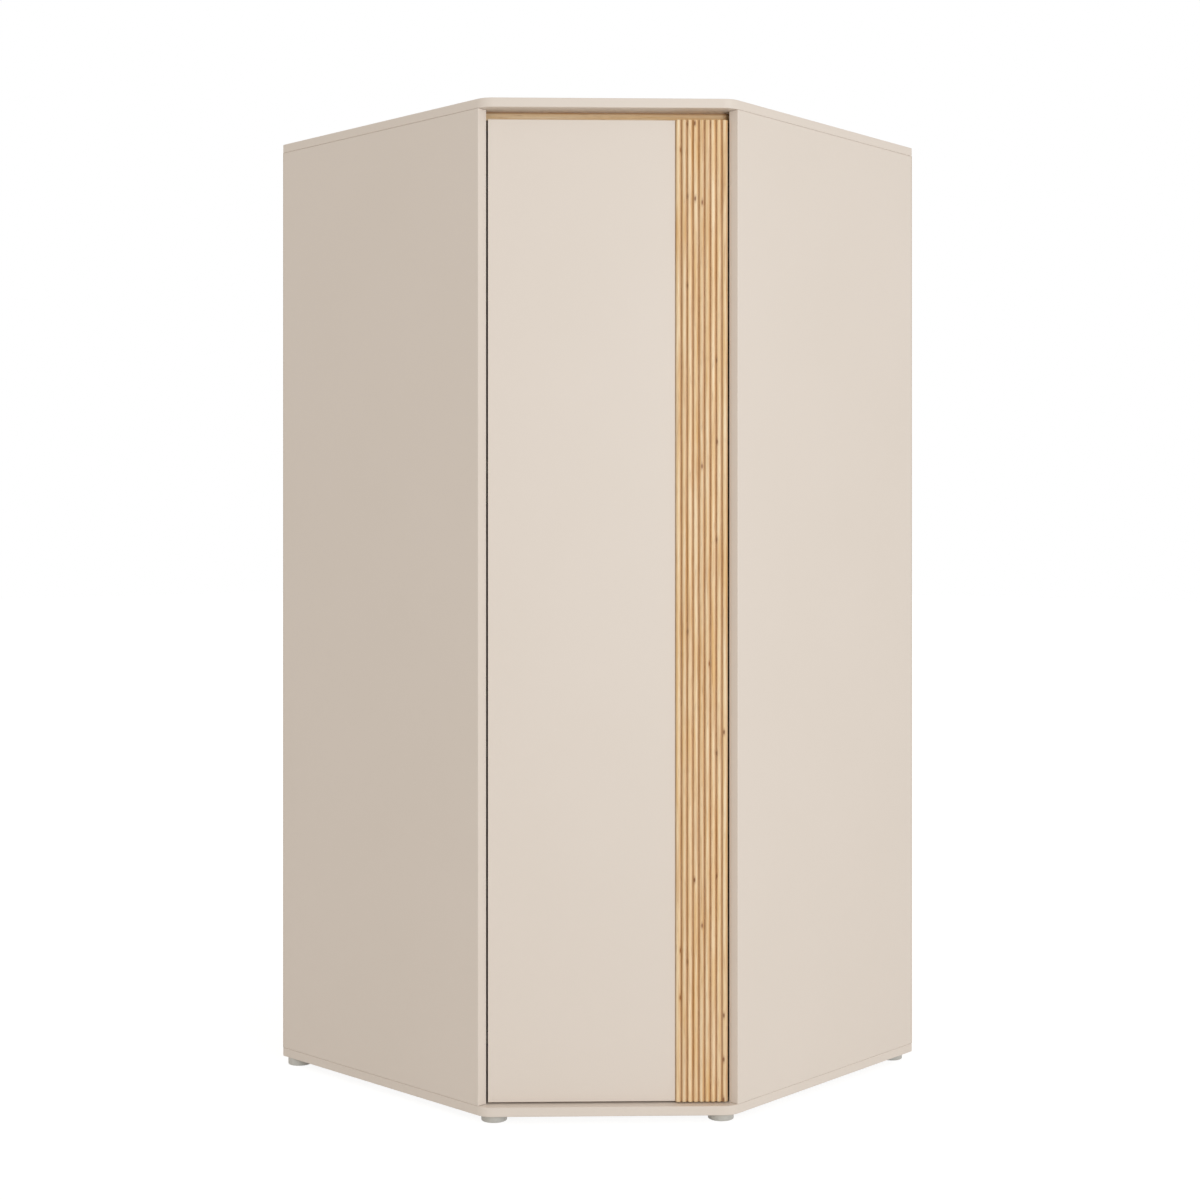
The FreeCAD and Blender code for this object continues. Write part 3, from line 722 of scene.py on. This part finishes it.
def build_cam_caps(settings, material):
    """Thin stuck-on caps, faced like the boards, over the cams."""
    height = settings.cap_height
    mesh = bmesh.new()
    for corners in cad_solids("cam_locks"):
        cam_middle = sum(corners, Vector()) / len(corners)
        for board, outward in CAM_FACES.items():
            if in_box(cam_middle, board):
                cap = eased_disc(settings.cap_width / 2, height, rim=height / 2)
                cam_face = end_ring(corners, outward)[0]
                add_turned(mesh, cap, cam_face + outward * height, outward)
    link_piece(mesh, "cam_caps", material, "carcass")


class WARDROBE_OT_backs(bpy.types.Operator):
    """Finish the two thin back panels"""

    bl_idname = "wardrobe.backs"
    bl_label = "Back panels"

    def execute(self, context):
        dress(painted_fibreboard(wardrobe_settings().boards), BACKS)
        return {"FINISHED"}


class WARDROBE_OT_oak(bpy.types.Operator):
    """Finish the slats and their carrier, and build the top rail"""

    bl_idname = "wardrobe.oak"
    bl_label = "Oak slats and rail"

    def execute(self, context):
        settings = wardrobe_settings().oak
        dress(oak_foil("oak_foil_slats", settings, UPRIGHT_GRAIN, slat_tones_and_hollow_shade), SLATS)
        dress(oak_foil("oak_foil_carrier", settings, UPRIGHT_GRAIN), ("slat_carrier",))
        build_top_rail(settings, oak_foil("oak_foil_rail", settings, LEVEL_GRAIN, rail_tone_and_shade))
        return {"FINISHED"}


def build_top_rail(settings, material):
    """Rail cut short of the right side panel, where a dark gap shows."""
    mesh = joined_copy("top_rail")
    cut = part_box("top_rail")[1].x - settings.rail_gap
    bmesh.ops.bisect_plane(mesh, geom=[*mesh.verts, *mesh.edges, *mesh.faces], plane_co=ALONG_X * cut,
                           plane_no=ALONG_X, clear_outer=True)
    bmesh.ops.holes_fill(mesh, edges=[edge for edge in mesh.edges if edge.is_boundary])
    link_piece(mesh, "oak_rail", material, "carcass", "top_rail")


class WARDROBE_OT_feet(bpy.types.Operator):
    """Build the disc feet, and finish the latch housing in the same plastic"""

    bl_idname = "wardrobe.feet"
    bl_label = "Feet and latch housing"

    def execute(self, context):
        settings = wardrobe_settings().fittings
        material = moulded_plastic("moulded_grey_plastic", settings.foot_grey, roughness=0.42, grit=0.8 * MM)
        for name in FEET:
            build_foot(name, settings, material)
        dress(material, ("latch_housing",))
        return {"FINISHED"}


def build_foot(name, settings, material):
    """Disc with a rolled lower rim, an eased upper rim and a hollow underside."""
    low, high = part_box(name)
    radius = (high.x - low.x) / 2
    middle = (low + high) / 2
    mesh = bmesh.new()
    bmesh.ops.create_cone(mesh, cap_ends=True, segments=FOOT_SEGMENTS, radius1=radius, radius2=radius,
                          depth=high.z - low.z)
    bmesh.ops.translate(mesh, verts=mesh.verts, vec=middle)
    lower_rim = [edge for edge in mesh.edges if all(vertex.co.z < middle.z for vertex in edge.verts)]
    bmesh.ops.bevel(mesh, geom=lower_rim, offset=settings.foot_lower_rim, segments=LOWER_RIM_STEPS,
                    profile=0.5, affect="EDGES", material=-1)
    upper_rim = [edge for edge in mesh.edges if all(vertex.co.z > middle.z for vertex in edge.verts)]
    bmesh.ops.bevel(mesh, geom=upper_rim, offset=settings.foot_upper_rim, segments=UPPER_RIM_STEPS,
                    profile=0.5, affect="EDGES", material=-1)
    underside = [lower_face(mesh)]
    bmesh.ops.inset_region(mesh, faces=underside, thickness=settings.foot_ring)
    bmesh.ops.inset_region(mesh, faces=underside, thickness=settings.foot_slope, depth=-settings.foot_hollow)
    link_piece(mesh, f"disc_{name}", material, "carcass", name)


class WARDROBE_OT_steel(bpy.types.Operator):
    """Finish the hinges, the door plates and the cams, and build the screws, shelf pins and nails"""

    bl_idname = "wardrobe.steel"
    bl_label = "Hinges and fixings"

    def execute(self, context):
        settings = wardrobe_settings().fittings
        nickel = plated_steel("black_nickel_steel", settings.nickel, roughness=0.4, scratch=1.2 * MM)
        zinc = plated_steel("zinc_plated_steel", settings.zinc, roughness=0.38, scratch=1.0 * MM)
        dress(nickel, (*HINGE_STEEL, *DOOR_PLATES))
        dress(zinc, SUNK_STEEL)
        for name, body in SCREW_BODIES.items():
            build_screws(name, body, zinc)
        build_shelf_pins(zinc)
        build_back_nails(settings, zinc)
        return {"FINISHED"}


def cad_solids(name):
    """Corners of each separate solid of a CAD node, from a merged copy of its mesh."""
    mesh = joined_copy(name)
    solids = []
    seen = set()
    for start in mesh.verts:
        if start in seen:
            continue
        seen.add(start)
        reached = [start]
        for vertex in reached:
            linked = [edge.other_vert(vertex) for edge in vertex.link_edges]
            fresh = [other for other in linked if other not in seen]
            seen.update(fresh)
            reached.extend(fresh)
        solids.append([vertex.co.copy() for vertex in reached])
    mesh.free()
    return solids


def levels_along(corners, way):
    """Levels at which corners stand along a direction, lowest first."""
    levels = []
    for height in sorted(corner.dot(way) for corner in corners):
        if not levels or height > levels[-1] + LEVEL_STEP:
            levels.append(height)
    return levels


def end_ring(corners, way):
    """Middle and radius of the corners that stand farthest along a direction."""
    farthest = max(corner.dot(way) for corner in corners)
    ring = [corner for corner in corners if corner.dot(way) > farthest - LEVEL_STEP]
    middle = sum(ring, Vector()) / len(ring)
    return middle, max((corner - middle).length for corner in ring)


def fixing_axis(corners):
    """Direction along which a screw or pin lies: the one on which its corners stand at the fewest levels."""
    directions = (ALONG_X, ALONG_Y, ALONG_Z, OUT_OF_DOOR)
    return min(directions, key=lambda way: len(levels_along(corners, way)))


def eased_disc(radius, height, rim, segments=FIXING_SEGMENTS):
    """Disc along Z with its upper face at zero and its upper rim rounded."""
    mesh = bmesh.new()
    bmesh.ops.create_cone(mesh, cap_ends=True, segments=segments, radius1=radius, radius2=radius,
                          depth=height)
    bmesh.ops.translate(mesh, verts=mesh.verts, vec=ALONG_Z * (-height / 2))
    edges = [edge for edge in mesh.edges if all(vertex.co.z > -height / 2 for vertex in edge.verts)]
    bmesh.ops.bevel(mesh, geom=edges, offset=rim, segments=FIXING_RIM_STEPS, profile=0.5, affect="EDGES",
                    material=-1)
    return mesh


def upper_face(mesh):
    return max(mesh.faces, key=lambda face: face.calc_center_median().z)


def lower_face(mesh):
    return min(mesh.faces, key=lambda face: face.calc_center_median().z)


def draw_down(mesh, length, end_share=1.0):
    """Draw the lowest face of a mesh down, and narrow it to a share of its width."""
    drawn = bmesh.ops.extrude_discrete_faces(mesh, faces=[lower_face(mesh)])["faces"][0]
    bmesh.ops.translate(mesh, verts=drawn.verts, vec=ALONG_Z * -length)
    bmesh.ops.scale(mesh, verts=drawn.verts, vec=(end_share, end_share, 1.0))


def sink_cross(mesh, radius, reach, width, depth):
    """Cross recess in the flat upper face, which has this radius."""
    bmesh.ops.inset_region(mesh, faces=[upper_face(mesh)], thickness=radius - reach * CROSS_MARGIN)
    for way in (ALONG_X, ALONG_Y):
        for place in (-reach, -width / 2, width / 2, reach):
            faces = flat_top(mesh, reach)
            edges = {edge for face in faces for edge in face.edges}
            corners = {vertex for face in faces for vertex in face.verts}
            bmesh.ops.bisect_plane(mesh, geom=[*faces, *edges, *corners], plane_co=way * place, plane_no=way)
    arms = []
    for face in flat_top(mesh, reach):
        middle = face.calc_center_median()
        across, along = sorted((abs(middle.x), abs(middle.y)))
        if across < width / 2 and along < reach:
            arms.append(face)
    bmesh.ops.inset_region(mesh, faces=arms, thickness=width * CROSS_TAPER, depth=-depth)


def flat_top(mesh, reach):
    """Faces at height zero with their middles nearer to Z than a distance."""
    middles = {face: face.calc_center_median() for face in mesh.faces}
    return [face for face, middle in middles.items()
            if abs(middle.z) < JOIN_DISTANCE and middle.xy.length < reach]


def add_turned(mesh, single, place, way):
    """Add a small mesh built along Z to a larger one, turned to a direction and moved to a place."""
    turn = way.to_track_quat("Z", "Y").to_matrix().to_4x4()
    bmesh.ops.transform(single, matrix=Matrix.Translation(place) @ turn, verts=single.verts)
    data = bpy.data.meshes.new("single")
    single.to_mesh(data)
    single.free()
    mesh.from_mesh(data)
    bpy.data.meshes.remove(data)


def build_screws(name, body, material):
    """Round-headed screws with a cross recess in place of the screws of a CAD node."""
    mesh = bmesh.new()
    for corners in cad_solids(name):
        way = fixing_axis(corners)
        if end_ring(corners, way)[1] < end_ring(corners, -way)[1]:
            way = -way
        crown, head_radius = end_ring(corners, way)
        shank_radius = end_ring(corners, -way)[1] * FIT_IN_SIX
        tip_level, seat_level, crown_level = levels_along(corners, way)
        head_height = crown_level - seat_level
        rim = head_height * HEAD_RIM
        tip_length = 2 * shank_radius
        screw = eased_disc(head_radius, head_height, rim)
        bmesh.ops.inset_region(screw, faces=[lower_face(screw)], thickness=head_radius - shank_radius)
        draw_down(screw, seat_level - tip_level - tip_length)
        draw_down(screw, tip_length, TIP_END)
        sink_cross(screw, head_radius - rim, reach=head_radius * CROSS_REACH, width=head_radius * CROSS_WIDTH,
                   depth=head_height * CROSS_DEPTH)
        add_turned(mesh, screw, crown, way)
    link_piece(mesh, f"round_{name}", material, body, name)


def build_shelf_pins(material):
    """Round pins in place of the six-sided ones, with a thinner half in the board and an eased free end."""
    mesh = bmesh.new()
    for corners in cad_solids("shelf_pins"):
        way = fixing_axis(corners)
        if any(in_box(end_ring(corners, way)[0], board) for board in PINNED_BOARDS):
            way = -way
        free_end, radius = end_ring(corners, way)
        sunk_end = end_ring(corners, -way)[0]
        half_length = (free_end - sunk_end).length / 2
        pin = eased_disc(radius, half_length, rim=radius * PIN_RIM)
        bmesh.ops.inset_region(pin, faces=[lower_face(pin)], thickness=radius * (1 - FIT_IN_SIX))
        draw_down(pin, half_length)
        add_turned(mesh, pin, free_end, way)
    link_piece(mesh, "round_shelf_pins", material, "carcass", "shelf_pins")


def nail_places(start, end, spacing):
    """Evenly spaced places on a line, with half a space left at each end."""
    count = round((end - start).length / spacing)
    return [start.lerp(end, (number + 0.5) / count) for number in range(count)]


def build_back_nails(settings, material):
    """Nail heads, driven almost flush, where the backs meet the boards in front of them."""
    low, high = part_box("back_left")
    side_line = box_middle("side_left").y
    corner_line = (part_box("rear_corner_panel")[0].y + high.y) / 2
    partition_line = box_middle("partition").y
    shelf_level = box_middle("hat_shelf").z

    def nail_row(start, end):
        return nail_places(Vector((low.x, *start)), Vector((low.x, *end)), settings.nail_spacing)

    both_backs = nail_row((side_line, low.z), (side_line, high.z))
    both_backs += nail_row((corner_line, low.z), (corner_line, high.z))
    both_backs += nail_row((side_line, shelf_level), (corner_line, shelf_level))
    left_only = nail_row((partition_line, low.z), (partition_line, shelf_level))
    heads = [(place, -ALONG_X) for place in both_backs + left_only]
    heads += [(Vector((-place.y, -place.x, place.z)), ALONG_Y) for place in both_backs]
    rise = settings.nail_rise
    mesh = bmesh.new()
    for place, outward in heads:
        head = eased_disc(settings.nail_width / 2, 2 * rise, rim=rise / 2, segments=NAIL_SEGMENTS)
        add_turned(mesh, head, place + outward * rise, outward)
    link_piece(mesh, "back_nails", material, "carcass")


class WARDROBE_OT_rail(bpy.types.Operator):
    """Build the hanging rail and finish its holders"""

    bl_idname = "wardrobe.rail"
    bl_label = "Hanging rail"

    def execute(self, context):
        settings = wardrobe_settings().fittings
        chrome = plated_steel("chromed_steel", settings.chrome, roughness=0.1, scratch=2.5 * MM)
        dress(chrome, RAIL_HOLDERS)
        build_rail(settings, chrome)
        return {"FINISHED"}


def build_rail(settings, material):
    """Drawn oval tube, open at both ends."""
    low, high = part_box("hanging_rail")
    radius = (high.y - low.y) / 2
    straight = (high.z - low.z) / 2 - radius
    mesh = bmesh.new()
    bmesh.ops.create_circle(mesh, segments=RAIL_SEGMENTS, radius=radius)
    bmesh.ops.rotate(mesh, verts=mesh.verts, matrix=Matrix.Rotation(math.pi / RAIL_SEGMENTS, 3, "Z"))
    bmesh.ops.rotate(mesh, verts=mesh.verts, matrix=Matrix.Rotation(math.pi / 2, 3, "Y"))
    for side in (-1, 1):
        half = [vertex for vertex in mesh.verts if vertex.co.z * side > 0]
        bmesh.ops.translate(mesh, verts=half, vec=ALONG_Z * (side * straight))
    start = box_middle("hanging_rail")
    start.x = low.x
    bmesh.ops.translate(mesh, verts=mesh.verts, vec=start)
    drawn = bmesh.ops.extrude_edge_only(mesh, edges=mesh.edges)
    far_ring = [item for item in drawn["geom"] if isinstance(item, bmesh.types.BMVert)]
    bmesh.ops.translate(mesh, verts=far_ring, vec=ALONG_X * (high.x - low.x))
    bmesh.ops.recalc_face_normals(mesh, faces=mesh.faces)
    bmesh.ops.solidify(mesh, geom=mesh.faces, thickness=settings.rail_wall)
    link_piece(mesh, "oval_rail", material, "carcass", "hanging_rail")


class WARDROBE_OT_latch(bpy.types.Operator):
    """Build the push latch's plunger and finish the dowels"""

    bl_idname = "wardrobe.latch"
    bl_label = "Latch plunger and dowels"

    def execute(self, context):
        settings = wardrobe_settings().fittings
        build_plunger(moulded_plastic("moulded_white_plastic", settings.plunger_white, roughness=0.4,
                                      grit=0.8 * MM))
        dress(raw_beech(settings), ("dowels",))
        return {"FINISHED"}


def build_plunger(material):
    """Round plunger with an eased tip."""
    corners = cad_solids("latch_plunger")[0]
    tip, radius = end_ring(corners, OUT_OF_DOOR)
    back = end_ring(corners, -OUT_OF_DOOR)[0]
    mesh = bmesh.new()
    plunger = eased_disc(radius, (tip - back).length, rim=radius * PLUNGER_RIM)
    add_turned(mesh, plunger, tip, OUT_OF_DOOR)
    link_piece(mesh, "round_plunger", material, "plunger", "latch_plunger")


class WARDROBE_OT_stage(bpy.types.Operator):
    """Set the camera, the pale floor and the soft light"""

    bl_idname = "wardrobe.stage"
    bl_label = "Stage"

    def execute(self, context):
        settings = wardrobe_settings().stage
        set_camera(settings)
        set_floor(settings)
        set_light(settings)
        bpy.context.scene.view_settings.view_transform = "Standard"
        return {"FINISHED"}


def set_camera(settings):
    """Level camera where the photograph was taken from."""
    data = bpy.data.cameras.new("photo_camera")
    data.lens = settings.lens
    data.shift_x, data.shift_y = settings.camera_shift
    camera = bpy.data.objects.new("photo_camera", data)
    camera.location = settings.camera_place
    camera.rotation_euler = (math.radians(90), 0.0, settings.camera_heading)
    bpy.context.scene.collection.objects.link(camera)
    bpy.context.scene.camera = camera


def seen_rays(tree):
    """1 for camera, glossy and transmission rays, 0 for the rays that light the wardrobe."""
    path = add_node(tree, "ShaderNodeLightPath")
    either = add_node(tree, "ShaderNodeMath", {
        0: path.outputs["Is Camera Ray"],
        1: path.outputs["Is Glossy Ray"],
    }, operation="MAXIMUM")
    seen = add_node(tree, "ShaderNodeMath", {
        0: either.outputs["Value"],
        1: path.outputs["Is Transmission Ray"],
    }, operation="MAXIMUM")
    return seen.outputs["Value"]


def set_floor(settings):
    """Pale matt floor that reads as white where it is lit and keeps a soft shadow."""
    mesh = bmesh.new()
    bmesh.ops.create_grid(mesh, x_segments=1, y_segments=1, size=FLOOR_REACH)
    data = bpy.data.meshes.new("floor")
    mesh.to_mesh(data)
    mesh.free()
    material = bpy.data.materials.new("pale_floor")
    material.use_nodes = True
    tree = material.node_tree
    tree.nodes.clear()
    matt = add_node(tree, "ShaderNodeBsdfDiffuse", {"Color": settings.floor_tone})
    white = add_node(tree, "ShaderNodeEmission", {"Color": linear("FFFFFF"), "Strength": settings.floor_glow})
    share = add_node(tree, "ShaderNodeMath", {
        0: seen_rays(tree),
        1: settings.floor_white,
    }, operation="MULTIPLY")
    mixed = add_node(tree, "ShaderNodeMixShader", {
        0: share.outputs["Value"],
        1: matt.outputs["BSDF"],
        2: white.outputs["Emission"],
    })
    add_node(tree, "ShaderNodeOutputMaterial", {"Surface": mixed.outputs["Shader"]})
    data.materials.append(material)
    floor = bpy.data.objects.new("floor", data)
    bpy.context.scene.collection.objects.link(floor)


def set_light(settings):
    """Even light all round, white to the camera, and a large soft light on the right."""
    world = bpy.data.worlds.new("studio")
    bpy.context.scene.world = world
    world.use_nodes = True
    tree = world.node_tree
    tree.nodes.clear()
    seen = seen_rays(tree)
    room = add_node(tree, "ShaderNodeBackground", {
        "Color": settings.room_tone,
        "Strength": settings.room_light,
    })
    white = add_node(tree, "ShaderNodeBackground", {"Color": linear("FFFFFF"), "Strength": 1.0})
    mixed = add_node(tree, "ShaderNodeMixShader", {
        0: seen,
        1: room.outputs["Background"],
        2: white.outputs["Background"],
    })
    add_node(tree, "ShaderNodeOutputWorld", {"Surface": mixed.outputs["Shader"]})
    lamp = bpy.data.lights.new("key_light", "AREA")
    lamp.size = settings.key_size
    lamp.color = settings.key_tone[:3]
    lamp.energy = settings.key_power
    key = bpy.data.objects.new("key_light", lamp)
    key.location = settings.key_place
    aim = Vector(settings.key_aim) - key.location
    key.rotation_euler = aim.to_track_quat("-Z", "Y").to_euler()
    bpy.context.scene.collection.objects.link(key)


class WARDROBE_PT_sidebar(bpy.types.Panel):
    """Lists the wardrobe's sizes, colours and operators"""

    bl_idname = "WARDROBE_PT_sidebar"
    bl_label = "Corner wardrobe"
    bl_space_type = "VIEW_3D"
    bl_region_type = "UI"
    bl_category = "Wardrobe"

    def draw(self, context):
        for group_name in ("boards", "oak", "fittings", "stage"):
            group = getattr(context.scene.corner_wardrobe, group_name)
            box = self.layout.box()
            for field in group.bl_rna.properties:
                if field.identifier not in ("rna_type", "name"):
                    box.prop(group, field.identifier)
        for operator in OPERATORS:
            self.layout.operator(operator.bl_idname)


GROUPS = (BoardSettings, OakSettings, FittingSettings, StageSettings, WardrobeSettings)
OPERATORS = (WARDROBE_OT_boards, WARDROBE_OT_backs, WARDROBE_OT_oak, WARDROBE_OT_feet, WARDROBE_OT_steel,
             WARDROBE_OT_rail, WARDROBE_OT_latch, WARDROBE_OT_stage)
CLASSES = (*GROUPS, *OPERATORS, WARDROBE_PT_sidebar)


def register():
    for cls in CLASSES:
        bpy.utils.register_class(cls)
    bpy.types.Scene.corner_wardrobe = PointerProperty(type=WardrobeSettings)


def unregister():
    del bpy.types.Scene.corner_wardrobe
    for cls in reversed(CLASSES):
        bpy.utils.unregister_class(cls)


def clear_start_objects():
    """Remove what a new Blender file holds besides the wardrobe."""
    kept = set(frame["nodes"].values()) | set(frame["bodies"].values())
    for thing in list(bpy.context.scene.objects):
        if thing not in kept:
            bpy.data.objects.remove(thing)


def main():
    clear_start_objects()
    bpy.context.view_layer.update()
    register()
    bpy.ops.wardrobe.boards()
    bpy.ops.wardrobe.backs()
    bpy.ops.wardrobe.oak()
    bpy.ops.wardrobe.feet()
    bpy.ops.wardrobe.steel()
    bpy.ops.wardrobe.rail()
    bpy.ops.wardrobe.latch()
    bpy.ops.wardrobe.stage()


if __name__ == "__main__":
    main()
